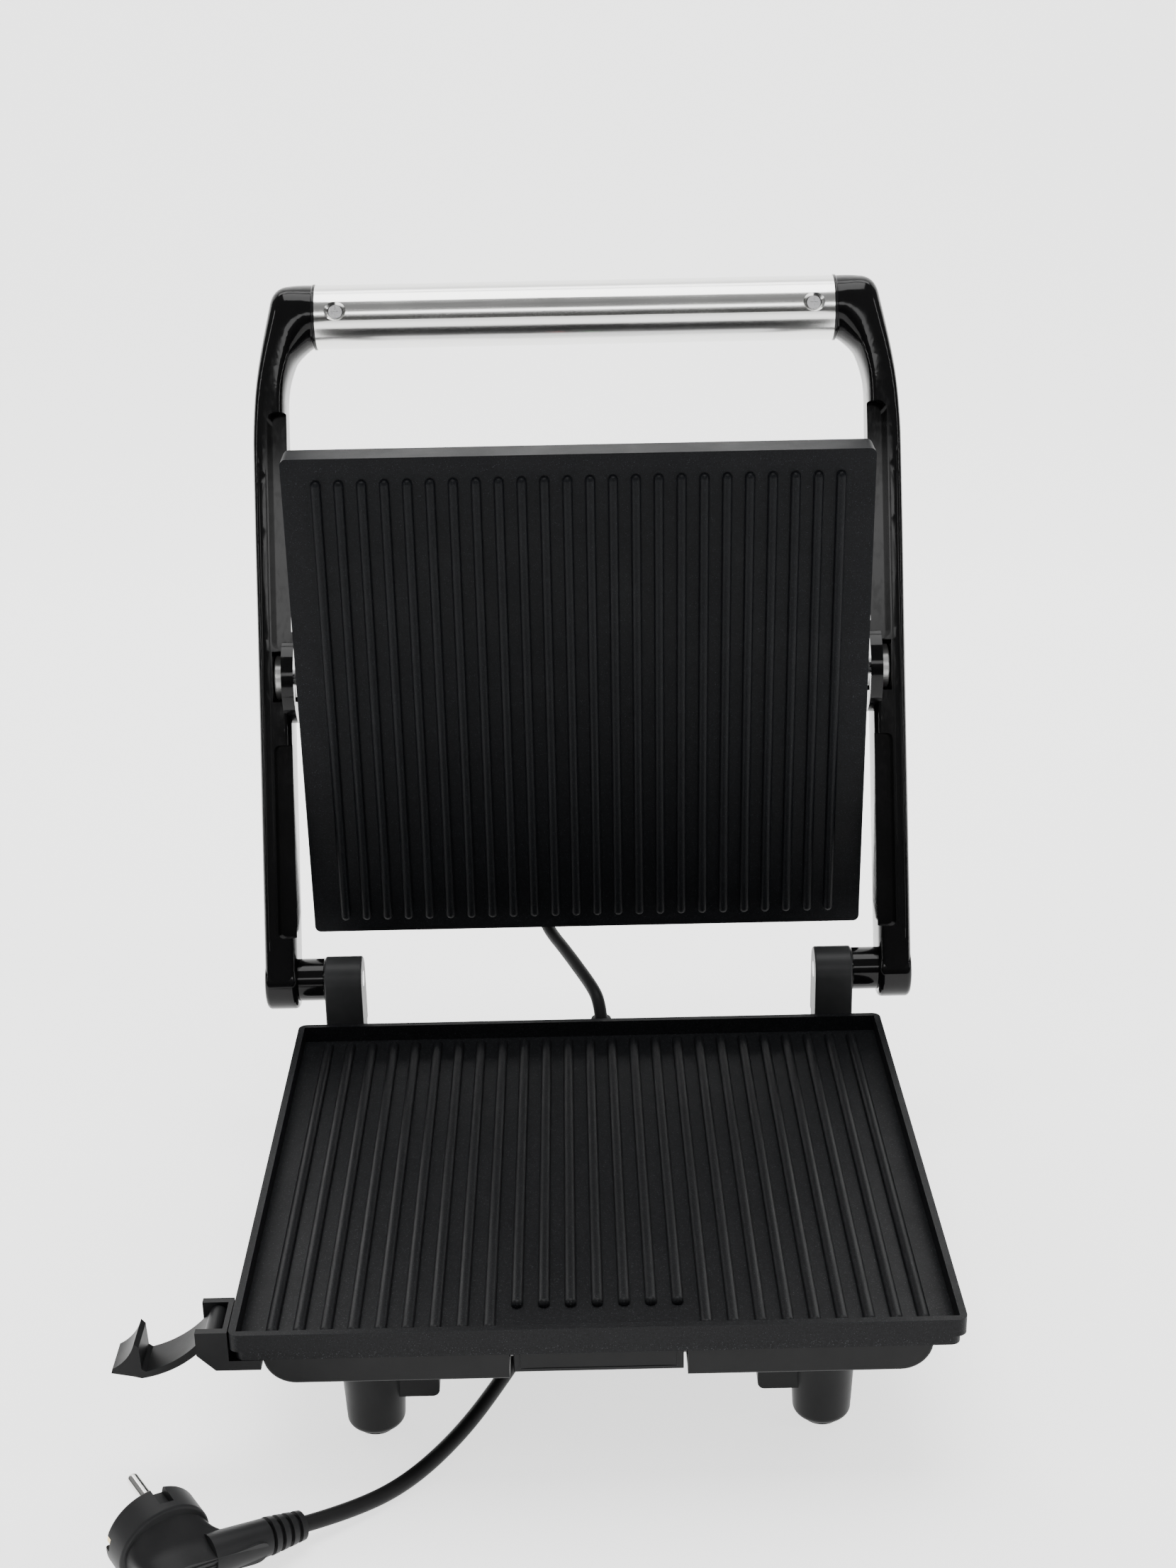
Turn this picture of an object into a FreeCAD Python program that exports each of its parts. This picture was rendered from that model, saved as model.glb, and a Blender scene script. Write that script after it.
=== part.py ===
"""Panini press: a contact grill with a lidded upper plate that floats on a pivoted handle frame.

Frame: millimetres, +X to the user's right, +Y to the back, +Z up.  The origin lies on the worktop,
below the centre of the lower grill plate.  The lid is stored open, resting on its stop.
"""
import FreeCAD, Part
import math
import os
import Sketcher
from FreeCAD import Placement, Rotation, Vector

SIZES = (
    ("plate_width", 290.0, "lower plate, outside of the rim, left to right"),
    ("plate_depth", 260.0, "lower plate, outside of the rim, front to back"),
    ("plate_corner", 4.0, "radius of the plates' upright corners"),
    ("rim_top", 76.0, "top of the lower plate's rim above the worktop"),
    ("rim_height", 7.6, "height of the rim's outer band"),
    ("rim_wall", 3.0, "rim thickness"),
    ("rim_depth", 8.0, "rim top down to the plate's floor"),
    ("skirt_inset", 2.0, "the plate's lower edge stands this far inside the rim"),
    ("plate_under", 63.0, "underside of the lower plate"),
    ("rib_pitch", 10.8, "distance between neighbouring ribs"),
    ("rib_radius", 2.4, "ribs are capsules of this radius, sunk into the plate"),
    ("rib_sink", 0.6, "rib centre line above the plate's floor"),
    ("rib_front_gap", 9.5, "front rim face to the ribs' front ends"),
    ("rib_rear_gap", 8.0, "rear rim face to the ribs' rear ends"),
    ("basin_shift", 16.0, "the middle ribs stop this much further back, for the drain"),
    ("basin_width", 65.0, "drain basin, left to right"),
    ("basin_depth", 9.0, "drain basin, front to back"),
    ("basin_bead", 1.4, "radius of the bead round the drain basin"),
    ("head_width", 281.0, "upper plate, left to right"),
    ("head_depth", 252.0, "upper plate, front to back"),
    ("head_shift", 5.8, "upper plate's centre, from the float pivot towards the hinge"),
    ("face_drop", 25.0, "float pivot down to the upper plate's face"),
    ("head_edge", 16.0, "height of the upper plate's edge"),
    ("head_skin", 4.0, "thickness of the upper plate"),
    ("shell_width", 264.0, "upper housing, left to right"),
    ("shell_depth", 236.0, "upper housing, front to back"),
    ("shell_height", 31.0, "upper housing, from the plate's edge up"),
    ("shell_wall", 2.6, "wall of the moulded housings"),
    ("body_width", 266.0, "base housing, left to right"),
    ("body_front", 124.0, "origin to the front of the base housing"),
    ("body_back", 152.0, "origin to the back of the base housing"),
    ("body_bottom", 48.5, "underside of the base housing"),
    ("body_corner", 13.0, "radius of the base housing's long lower corners"),
    ("belly_width", 150.0, "bottom cover's tub, left to right"),
    ("belly_front", 86.0, "origin to the front of the tub"),
    ("belly_back", 128.0, "origin to the back of the tub"),
    ("belly_bottom", 28.0, "underside of the tub"),
    ("hinge_back", 145.5, "hinge axis behind the origin"),
    ("hinge_height", 93.5, "hinge axis above the worktop"),
    ("hinge_pin_radius", 4.0, "hinge pins"),
    ("tower_inner", 113.3, "inner face of a hinge tower"),
    ("tower_outer", 132.0, "outer face of a hinge tower"),
    ("tower_radius", 11.4, "rounded top of a hinge tower"),
    ("open_angle", 110.5, "handle frame above the worktop plane when open"),
    ("head_angle", 86.5, "upper plate above the worktop plane when open"),
    ("arm_outer", 161.2, "outer face of an arm"),
    ("arm_inner", 145.0, "inner face of an arm"),
    ("arm_depth", 29.0, "arm, front to back"),
    ("grip_reach", 332.0, "hinge axis to the handle tube's axis"),
    ("grip_radius", 15.8, "handle tube"),
    ("grip_half", 129.0, "half the handle tube's length"),
    ("grip_wall", 1.5, "handle tube's wall"),
    ("screw_half", 118.6, "middle of the press to each handle screw"),
    ("pivot_reach", 152.0, "hinge axis to the float pivot"),
    ("pivot_pin_radius", 4.0, "float pivot pins"),
    ("hub_radius", 11.3, "float pivot hubs"),
    ("running_gap", 0.05, "radial clearance of a pin in its bore"),
    ("foot_x", 93.5, "middle of the press to each foot"),
    ("foot_front", 86.0, "origin forward to the front feet"),
    ("foot_rear", 136.0, "origin back to the rear feet"),
    ("tray_width", 67.6, "drip tray, left to right"),
    ("tray_depth", 54.0, "drip tray, front to back"),
    ("tray_bottom", 51.4, "underside of the drip tray"),
    ("tray_gap", 1.6, "gap between the tray's front and the base housing"),
    ("latch_x", 151.6, "middle of the press to the latch's axis"),
    ("latch_height", 71.0, "latch axis above the worktop"),
    ("latch_y", 116.0, "origin forward to the middle of the latch"),
    ("latch_width", 17.0, "latch lever, front to back"),
    ("cord_radius", 3.25, "mains cord and lid lead"),
    ("cord_x", 45.0, "middle of the press to the mains cord's exit"),
    ("cord_z", 39.5, "mains cord's exit above the worktop"),
    ("gland_length", 22.0, "the mains cord's strain relief"),
    ("lead_x", 6.0, "middle of the press to the lid lead's lower end"),
    ("lead_y", 142.0, "origin back to the lid lead's lower end"),
    ("lead_gland", 7.0, "length of the lid lead's glands"),
    ("head_lead_x", -24.0, "middle of the press to the lid lead's upper end"),
    ("head_lead_z", 9.0, "lid lead's upper end, from the float pivot towards the cover"),
)

doc = FreeCAD.newDocument("panini_press")
sheet = doc.addObject("Spreadsheet::Sheet", "sizes")
for row, (alias, value, meaning) in enumerate(SIZES, 1):
    sheet.set(f"A{row}", meaning)
    sheet.set(f"B{row}", str(value))
    sheet.setAlias(f"B{row}", alias)
DERIVED = (
    ("skirt_width", "=plate_width - 2 * skirt_inset"),
    ("skirt_depth", "=plate_depth - 2 * skirt_inset"),
    ("hollow_width", "=plate_width - 2 * rim_wall"),
    ("hollow_depth", "=plate_depth - 2 * rim_wall"),
    ("head_hollow_width", "=head_width - 2 * head_skin"),
    ("head_hollow_depth", "=head_depth - 2 * head_skin"),
)
for row, (alias, formula) in enumerate(DERIVED, len(SIZES) + 1):
    sheet.set(f"B{row}", formula)
    sheet.setAlias(f"B{row}", alias)
doc.recompute()
SIZE = {alias: float(sheet.get(alias)) for alias in [entry[0] for entry in SIZES + DERIVED]}

nodes = []


# ---- helpers -----------------------------------------------------------------------------------

def bind(item, **formulas):
    """Bind properties to sheet cells; a double underscore stands for the dot of a sub-property."""
    for prop, formula in formulas.items():
        item.setExpression(prop.replace("__", "."), str(formula))
    return item


def cell(text):
    """Turn the aliases in a formula into references to the sheet."""
    words = []
    word = ""
    for char in str(text) + " ":
        if char.isalnum() or char in "_.":
            word += char
            continue
        words.append("sizes." + word if word in SIZE else word)
        words.append(char)
        word = ""
    return "".join(words).strip()


def place(item, x, y, z):
    return bind(item, Placement__Base__x=cell(x), Placement__Base__y=cell(y), Placement__Base__z=cell(z))


def block(name, x, y, z):
    """A box from three (low, high) pairs of formulas."""
    item = doc.addObject("Part::Box", name)
    bind(item, Length=cell(f"({x[1]}) - ({x[0]})"), Width=cell(f"({y[1]}) - ({y[0]})"))
    bind(item, Height=cell(f"({z[1]}) - ({z[0]})"))
    return place(item, x[0], y[0], z[0])


TURNS = {
    "x": Rotation(Vector(0, 1, 0), 90),
    "y": Rotation(Vector(1, 0, 0), -90),
    "z": Rotation(),
}


def rod(name, axis, start, length, radius, end_radius=None):
    """A cylinder, or a cone, from a start point along +x, +y or +z."""
    if end_radius is None:
        item = doc.addObject("Part::Cylinder", name)
        bind(item, Radius=cell(radius), Height=cell(length))
    else:
        item = doc.addObject("Part::Cone", name)
        bind(item, Radius1=cell(radius), Radius2=cell(end_radius), Height=cell(length))
    item.Placement = Placement(Vector(), TURNS[axis])
    return place(item, *start)


def fuse(name, items):
    item = doc.addObject("Part::MultiFuse", name)
    item.Shapes = items
    item.Refine = True
    return item


def cut(name, base, *tools):
    """The base less each tool in turn."""
    for index, tool in enumerate(tools):
        item = doc.addObject("Part::Cut", f"{name}_{index}")
        item.Base = base
        item.Tool = tool
        base = item
    return base


def common(name, base, tool):
    item = doc.addObject("Part::Common", name)
    item.Base = base
    item.Tool = tool
    return item


def rounded(name, base, radius, choose):
    """Fillet the edges of the base that choose(edge) picks out."""
    doc.recompute()
    picked = [n for n, edge in enumerate(base.Shape.Edges, 1) if not edge.Degenerated and choose(edge)]
    item = doc.addObject("Part::Fillet", name)
    item.Base = base
    item.Edges = [(n, SIZE.get(radius, radius), SIZE.get(radius, radius)) for n in picked]
    return item


def along(axis, low=None):
    """Pick the straight edges parallel to an axis, and no shorter than low."""
    number = "xyz".index(axis)

    def choose(edge):
        if not isinstance(edge.Curve, Part.Line):
            return False
        step = edge.Vertexes[-1].Point - edge.Vertexes[0].Point
        return abs(abs(step[number]) - step.Length) < 1e-6 and step.Length > (low or 0)

    return choose


def solid(name, shape):
    """A piece whose outline neither sketches nor primitives give."""
    item = doc.addObject("Part::Feature", name)
    item.Shape = shape
    return item


def node(name, item, placement=None):
    """Name a finished piece and put it where it belongs."""
    if placement is not None:
        if item.TypeId in ("Part::Box", "Part::Cylinder"):
            holder = doc.addObject("Part::Compound", name + "_holder")
            holder.Links = [item]
            item = holder
        item.Placement = placement.multiply(item.Placement)
    item.Label = name
    nodes.append(item)
    return item


def group(name, items):
    """Identical loose pieces that share one node."""
    item = doc.addObject("Part::Compound", name + "_group")
    item.Links = items
    return node(name, item)


def plane(body, role):
    return next(item for item in body.Origin.OriginFeatures if item.Role == role)


def sketch(body, name, role="XY_Plane", lift="0"):
    item = body.newObject("Sketcher::SketchObject", name)
    item.AttachmentSupport = (plane(body, role), [""])
    item.MapMode = "FlatFace"
    item.setExpression("AttachmentOffset.Base.z", cell(lift))
    return item


def rectangle(item, width, depth, middle=0.0):
    """A rectangle of two bound sizes, centred on the sketch's upright axis."""
    half = [SIZE[width] / 2, SIZE[depth] / 2]
    corners = [(-half[0], -half[1]), (half[0], -half[1]), (half[0], half[1]), (-half[0], half[1])]
    for here, there in zip(corners, corners[1:] + corners[:1]):
        item.addGeometry(Part.LineSegment(Vector(*here, 0), Vector(*there, 0)))
    for side in range(4):
        item.addConstraint(Sketcher.Constraint("Coincident", side, 2, (side + 1) % 4, 1))
        item.addConstraint(Sketcher.Constraint("Horizontal" if side % 2 == 0 else "Vertical", side))
    width_row = item.addConstraint(Sketcher.Constraint("DistanceX", 0, 1, 0, 2, 2 * half[0]))
    depth_row = item.addConstraint(Sketcher.Constraint("DistanceY", 1, 1, 1, 2, 2 * half[1]))
    item.addConstraint(Sketcher.Constraint("Symmetric", 0, 1, 2, 1, -1, 1))
    item.setExpression(f"Constraints[{width_row}]", cell(width))
    item.setExpression(f"Constraints[{depth_row}]", cell(depth))
    return item


def pad(body, name, profile, length, backwards=False):
    item = body.newObject("PartDesign::Pad", name)
    item.Profile = profile
    item.Reversed = backwards
    item.setExpression("Length", cell(length))
    return item


def pocket(body, name, profile, length, upwards):
    item = body.newObject("PartDesign::Pocket", name)
    item.Profile = profile
    item.Reversed = upwards
    item.setExpression("Length", cell(length))
    return item


def rib_row(body, name, first_x, low_y, high_y, height, count):
    """A row of capsule ribs: one is turned from half its outline, then repeated along X."""
    radius = SIZE["rib_radius"]
    outline = sketch(body, name + "_outline", lift=height)
    low, high = low_y + radius, high_y - radius
    side = first_x + radius
    outline.addGeometry(Part.LineSegment(Vector(first_x, low_y, 0), Vector(first_x, high_y, 0)))
    outline.addGeometry(Part.LineSegment(Vector(side, low, 0), Vector(side, high, 0)))
    quarter = math.pi / 2
    for middle, start in ((low, -quarter), (high, 0.0)):
        ring = Part.Circle(Vector(first_x, middle, 0), Vector(0, 0, 1), radius)
        outline.addGeometry(Part.ArcOfCircle(ring, start, start + quarter))
    axis = outline.addGeometry(Part.LineSegment(Vector(first_x, low, 0), Vector(first_x, high, 0)), True)
    turned = body.newObject("PartDesign::Revolution", name + "_rib")
    turned.Profile = outline
    turned.ReferenceAxis = (outline, ["Axis0"])
    turned.Angle = 360
    doc.recompute()
    row = body.newObject("PartDesign::LinearPattern", name + "_row")
    row.Originals = [turned]
    row.Direction = (plane(body, "X_Axis"), [""])
    row.Occurrences = count
    row.setExpression("Length", cell(f"rib_pitch * {count - 1}"))
    body.Tip = row
    return row


# ---- lower grill plate -------------------------------------------------------------------------

def lower_plate():
    """One casting: rimmed tray with ribs, a drain basin at the front and a shallow underside."""
    body = doc.addObject("PartDesign::Body", "lower_plate_body")
    skirt = sketch(body, "skirt_outline", lift="plate_under")
    rectangle(skirt, "skirt_width", "skirt_depth")
    pad(body, "skirt", skirt, "rim_top - rim_height - plate_under")
    band = sketch(body, "band_outline", lift="rim_top - rim_height")
    rectangle(band, "plate_width", "plate_depth")
    pad(body, "band", band, "rim_height")
    hollow = sketch(body, "hollow_outline", lift="rim_top")
    rectangle(hollow, "hollow_width", "hollow_depth")
    pocket(body, "hollow", hollow, "rim_depth", upwards=False)
    doc.recompute()
    front = SIZE["rib_front_gap"] - SIZE["plate_depth"] / 2
    back = SIZE["plate_depth"] / 2 - SIZE["rib_rear_gap"]
    height = "rim_top - rim_depth + rib_sink"
    pitch = SIZE["rib_pitch"]
    rib_row(body, "left_ribs", -12 * pitch, front, back, height, 9)
    rib_row(body, "middle_ribs", -3 * pitch, front + SIZE["basin_shift"], back, height, 7)
    rib_row(body, "right_ribs", 4 * pitch, front, back, height, 9)
    doc.recompute()
    return body


def basin_bead():
    """The low bead on three sides of the drain basin, meeting the front rim."""
    half = SIZE["basin_width"] / 2
    front = SIZE["rim_wall"] - SIZE["plate_depth"] / 2 - 0.5
    back = front + 0.5 + SIZE["basin_depth"]
    floor = SIZE["rim_top"] - SIZE["rim_depth"]
    path = [Vector(-half, front, floor), Vector(-half, back, floor)]
    path += [Vector(half, back, floor), Vector(half, front, floor)]
    return solid("basin_bead", tube(path, SIZE["basin_bead"], bend=4.0))


def tube(points, radius, bend=None, share=0.45):
    """A round bar along straight runs joined by tangent arcs.

    Each arc's radius is fixed by bend, or else as large as its two runs allow."""
    edges = []
    here = points[0]
    arcs = []
    for before, corner, after in zip(points, points[1:], points[2:]):
        to_corner, from_corner = corner - before, after - corner
        turn = to_corner.getAngle(from_corner)
        if bend is None:
            reach = share * min(to_corner.Length, from_corner.Length)
        else:
            reach = bend * math.tan(turn / 2)
        arcs.append(reach / math.tan(turn / 2))
        start = corner - Vector(to_corner).normalize() * reach
        end = corner + Vector(from_corner).normalize() * reach
        inward = (Vector(from_corner).normalize() - Vector(to_corner).normalize()).normalize()
        centre = corner + inward * (arcs[-1] / math.cos(turn / 2))
        middle = centre - inward * arcs[-1]
        edges.append(Part.LineSegment(here, start).toShape())
        edges.append(Part.Arc(start, middle, end).toShape())
        here = end
    edges.append(Part.LineSegment(here, points[-1]).toShape())
    path = Part.Wire(edges)
    ring = Part.Wire(Part.makeCircle(radius, points[0], points[1] - points[0]))
    shape = path.makePipeShell([ring], True, False)
    ideal = math.pi * radius**2 * path.Length
    if abs(shape.Volume - ideal) > 0.01 * ideal:
        raise RuntimeError("a tube's volume differs from its section times its length")
    if bend is None:
        print("tube", round(path.Length, 1), "mm, radii", [round(arc) for arc in arcs])
    return shape


plate = lower_plate()
drain = rod("drain", "z", ("0", "basin_depth / 2 + rim_wall - plate_depth / 2", "plate_under - 1"), "12", "2.5")
plate = cut("drained_plate", fuse("beaded_plate", [plate, basin_bead()]), drain)
plate = rounded("rounded_plate", plate, "plate_corner",
                lambda edge: along("z", 3)(edge) and abs(edge.CenterOfMass.x) > SIZE["skirt_width"] / 2 - 1)
node("lower_grill_plate", plate)


# ---- base casing -------------------------------------------------------------------------------

def base_housing():
    shell = block("housing_outside", ("-body_width / 2", "body_width / 2"), ("-body_front", "body_back"),
                  ("body_bottom", "plate_under"))
    long_edge = lambda edge: along("y")(edge) and edge.CenterOfMass.z < SIZE["body_bottom"] + 1
    shell = rounded("housing_rounded", shell, "body_corner", long_edge)
    upright = lambda edge: (along("z", 0.1)(edge) and edge.CenterOfMass.y < 0) or (
        isinstance(edge.Curve, Part.Circle) and edge.CenterOfMass.y < 0) or (
        along("x", 50)(edge) and edge.CenterOfMass.z < SIZE["body_bottom"] + 1 and edge.CenterOfMass.y < 0)
    shell = rounded("housing_soft_front", shell, 1.2, upright)
    inside = block("housing_inside", ("shell_wall - body_width / 2", "body_width / 2 - shell_wall"),
                   ("shell_wall - body_front", "body_back - shell_wall"),
                   ("body_bottom + shell_wall", "plate_under + 1"))
    low_inside = lambda edge: along("y")(edge) and edge.CenterOfMass.z < SIZE["plate_under"] - 5
    inside = rounded("housing_inside_rounded", inside, SIZE["body_corner"] - SIZE["shell_wall"], low_inside)
    opening = block("housing_opening", ("3 - belly_width / 2", "belly_width / 2 - 3"),
                    ("3 - belly_front", "belly_back - 3"), ("body_bottom - 1", "body_bottom + 4"))
    slot = block("tray_slot", ("-tray_width / 2 - tray_gap", "tray_width / 2 + tray_gap"),
                 ("-body_front - 1", "-belly_front - 9"), ("body_bottom - 1", "plate_under + 1"))
    shell = cut("housing_shell", shell, inside, opening, slot)
    extras = [block("rear_deck", ("1 - body_width / 2", "body_width / 2 - 1"),
                    ("plate_depth / 2 - 1", "body_back - 1"), ("plate_under - 2.6", "plate_under"))]
    for side, low, high in (("left", "-tower_outer", "-tower_inner"), ("right", "tower_inner", "tower_outer")):
        extras.append(block(f"tower_post_{side}", (low, high), ("hinge_back - tower_radius", "body_back - 1"),
                            ("body_bottom + 1", "plate_under")))
    shell = fuse("housing_with_deck", [shell] + extras)
    lead_hole = rod("lead_exit", "z", ("lead_x", "lead_y", "plate_under - 5"), "8", "cord_radius + 0.3")
    return cut("base_housing_cut", shell, lead_hole, *screw_holes("housing", 1.6))


SCREW_SPOTS = tuple((x, y) for x in ("-60", "60") for y in ("-belly_front - 4.5", "belly_back + 4.5"))


def screw_holes(owner, radius):
    return [rod(f"{owner}_hole_{n}", "z", (x, y, "body_bottom - 8"), "14", str(radius))
            for n, (x, y) in enumerate(SCREW_SPOTS)]


def bottom_cover():
    tub = block("tub", ("-belly_width / 2", "belly_width / 2"), ("-belly_front", "belly_back"),
                ("belly_bottom", "body_bottom"))
    tub = rounded("tub_rounded", tub, 8.0, lambda edge: edge.CenterOfMass.z < SIZE["body_bottom"] - 1)
    inside = block("tub_inside", ("2.4 - belly_width / 2", "belly_width / 2 - 2.4"),
                   ("2.4 - belly_front", "belly_back - 2.4"), ("belly_bottom + 2.4", "body_bottom + 1"))
    inside = rounded("tub_inside_rounded", inside, 5.6,
                     lambda edge: edge.CenterOfMass.z < SIZE["body_bottom"] - 1)
    flange = block("tub_flange", ("-belly_width / 2 - 3", "belly_width / 2 + 3"),
                   ("-belly_front - 9", "belly_back + 9"), ("body_bottom - 2.4", "body_bottom"))
    cover = cut("tub_shell", fuse("tub_flanged", [tub, flange]), inside)
    vents = [block(f"vent_{n}", (str(18 * n - 47), str(18 * n - 43)), ("-30", "70"),
                   ("belly_bottom - 1", "belly_bottom + 4")) for n in range(6)]
    exit_hole = rod("cord_exit", "y", ("cord_x", "belly_back - 5", "cord_z"), "8", "cord_radius + 0.3")
    return cut("bottom_cover_cut", cover, exit_hole, *vents, *screw_holes("cover", 1.6))


def base_screws():
    """Pan-head screws up through the cover's flange."""
    screws = []
    for n, (x, y) in enumerate(SCREW_SPOTS):
        head = rod(f"base_head_{n}", "z", (x, y, "body_bottom - 4.2"), "1.8", "3")
        shank = rod(f"base_shank_{n}", "z", (x, y, "body_bottom - 2.6"), "6.5", "1.5")
        screws.append(fuse(f"base_screw_{n}", [head, shank]))
    return screws


def foot(name, x, y, web=None):
    """A tapered foot with a rounded toe, recessed for its rubber pad."""
    body = rod(f"{name}_taper", "z", (x, y, "2"), "body_bottom - 2", "12", "14.3")
    body = rounded(f"{name}_rounded", body, 3.5, lambda edge: edge.CenterOfMass.z < 3)
    if web:
        brace = block(f"{name}_web", web, (f"{y} - 7", f"{y} - 0.2"), ("18", "body_bottom - 2.6"))
        brace = rounded(f"{name}_web_rounded", brace, 3.0,
                        lambda edge: along("y")(edge) and edge.CenterOfMass.z < 20)
        body = fuse(f"{name}_braced", [body, brace])
    recess = rod(f"{name}_recess", "z", (x, y, "1"), "2", "8.2")
    node(name, cut(f"{name}_cut", body, recess))
    node(f"{name}_pad", rod(f"{name}_rubber", "z", (x, y, "0"), "3", "8"))


node("base_housing", base_housing())
node("bottom_cover", bottom_cover())
group("base_screws", base_screws())
foot("front_left_foot", "-foot_x", "-foot_front", ("7 - foot_x", "27.5 - foot_x"))
foot("front_right_foot", "foot_x", "-foot_front", ("foot_x - 27.5", "foot_x - 7"))
foot("rear_left_foot", "-foot_x", "foot_rear")
foot("rear_right_foot", "foot_x", "foot_rear")


# ---- what the base holds -----------------------------------------------------------------------

def element_path(reach_x, low, high, height, recess=None):
    """A heating element's loop, open at the back, stepping round a recess at the front."""
    start = [(-18, high), (-reach_x, high), (-reach_x, low)]
    if recess:
        start += [(-recess[0], low), (-recess[0], recess[1])]
    end = [(-x, y) for x, y in reversed(start)]
    return [Vector(x, y, height) for x, y in start + end]


def thermostat(name, x, y, low, placement=None):
    can = rod(f"{name}_can", "z", (x, y, low), "4.2", "8")
    cap = rod(f"{name}_cap", "z", (x, y, f"{low} - 5"), "5", "6.5")
    tabs = [block(f"{name}_tab_{n}", (f"{x} + {shift} - 0.4", f"{x} + {shift} + 0.4"),
                  (f"{y} - 2", f"{y} + 2"), (f"{low} - 11", f"{low} - 4.5")) for n, shift in enumerate((-4, 4))]
    node(name, fuse(f"{name}_whole", [can, cap] + tabs), placement)


lower_loop = element_path(96, -104, 112, SIZE["plate_under"] - 3.4, recess=(50, -60))
node("lower_heating_element", solid("lower_loop", tube(lower_loop, 3.3, bend=14)))
shield = block("lower_sheet", ("-104", "104"), ("-52", "120"), ("plate_under - 9", "plate_under - 8.2"))
shield_hole = rod("lower_sheet_hole", "z", ("0", "20", "plate_under - 12"), "6", "9")
node("lower_heat_shield", cut("lower_sheet_cut", shield, shield_hole))
thermostat("lower_thermostat", "0", "20", "plate_under - 4.4")
node("thermal_fuse", rod("fuse_body", "x", ("30", "20", "plate_under - 3"), "14", "2.6"))
block_body = block("terminal_body", ("-17", "17"), ("84", "98"), ("belly_bottom + 2.4", "belly_bottom + 14"))
block_holes = [rod(f"terminal_hole_{n}", "z", (str(11 * n - 11), "91", "belly_bottom + 8"), "8", "2.6")
               for n in range(3)]
node("terminal_block", cut("terminal_cut", block_body, *block_holes))


# ---- drip tray ---------------------------------------------------------------------------------

def drip_tray():
    outside = block("tray_outside", ("-tray_width / 2", "tray_width / 2"),
                    ("-body_front", "tray_depth - body_front"), ("tray_bottom", "plate_under - 0.8"))
    outside = rounded("tray_rounded", outside, 1.0,
                      lambda edge: edge.CenterOfMass.y < 0.5 - SIZE["body_front"])
    inside = block("tray_inside", ("1.8 - tray_width / 2", "tray_width / 2 - 1.8"),
                   ("2.4 - body_front", "tray_depth - body_front - 1.8"),
                   ("tray_bottom + 1.8", "plate_under + 1"))
    inside = rounded("tray_inside_rounded", inside, 2.0,
                     lambda edge: edge.CenterOfMass.z < SIZE["plate_under"])
    return cut("tray_cut", outside, inside)


node("drip_tray", drip_tray())


# ---- hinge towers ------------------------------------------------------------------------------

def hinge_tower(side, low, high):
    length = f"({high}) - ({low})"
    top = rod(f"tower_top_{side}", "x", (low, "hinge_back", "hinge_height"), length, "tower_radius")
    stem = block(f"tower_stem_{side}", (low, high),
                 ("hinge_back - tower_radius", "hinge_back + tower_radius"), ("plate_under", "hinge_height"))
    stem_cut = block(f"tower_tail_{side}", (f"{low} - 1", f"{high} + 1"), ("body_back", "body_back + 20"),
                     ("plate_under - 1", "plate_under + 4"))
    bore = rod(f"tower_bore_{side}", "x", (f"{low} - 1", "hinge_back", "hinge_height"), f"{length} + 2",
               "hinge_pin_radius + running_gap")
    tower = cut(f"tower_{side}", fuse(f"tower_body_{side}", [top, stem]), stem_cut)
    edges = lambda edge: (isinstance(edge.Curve, Part.Circle) or along("z", 20)(edge))
    tower = rounded(f"tower_soft_{side}", tower, 1.0, edges)
    return cut(f"hinge_tower_{side}_bored", tower, bore)


node("hinge_tower_left", hinge_tower("left", "-tower_outer", "-tower_inner"))
node("hinge_tower_right", hinge_tower("right", "tower_inner", "tower_outer"))


# ---- storage latch -----------------------------------------------------------------------------

def latch_bracket():
    """An open box on the left flank; the lever swings out through its missing outer wall."""
    y = ("-latch_y - 12", "12 - latch_y")
    outside = block("bracket_outside", ("-latch_x - 6.4", "-latch_x + 6.2"), y, ("58.4", "rim_top"))
    chamfer = lambda edge: along("y")(edge) and edge.CenterOfMass.z < 60 and edge.CenterOfMass.x < -155
    bevelled = doc.addObject("Part::Chamfer", "bracket_bevelled")
    doc.recompute()
    bevelled.Base = outside
    bevelled.Edges = [(n, 7.2, 7.2) for n, edge in enumerate(outside.Shape.Edges, 1) if chamfer(edge)]
    inside = block("bracket_inside", ("-latch_x - 8", "-latch_x + 4.2"),
                   ("-latch_y - latch_width / 2 - 0.4", "latch_width / 2 + 0.4 - latch_y"), ("62", "80"))
    tongue = block("bracket_tongue", ("-latch_x + 4", "-body_width / 2"), y, ("58.4", "plate_under - 0.2"))
    bore = rod("bracket_bore", "y", ("-latch_x", "-latch_y - 11", "latch_height"), "22", "2")
    return cut("latch_bracket_cut", fuse("bracket_body", [bevelled, tongue]), inside, bore)


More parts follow.
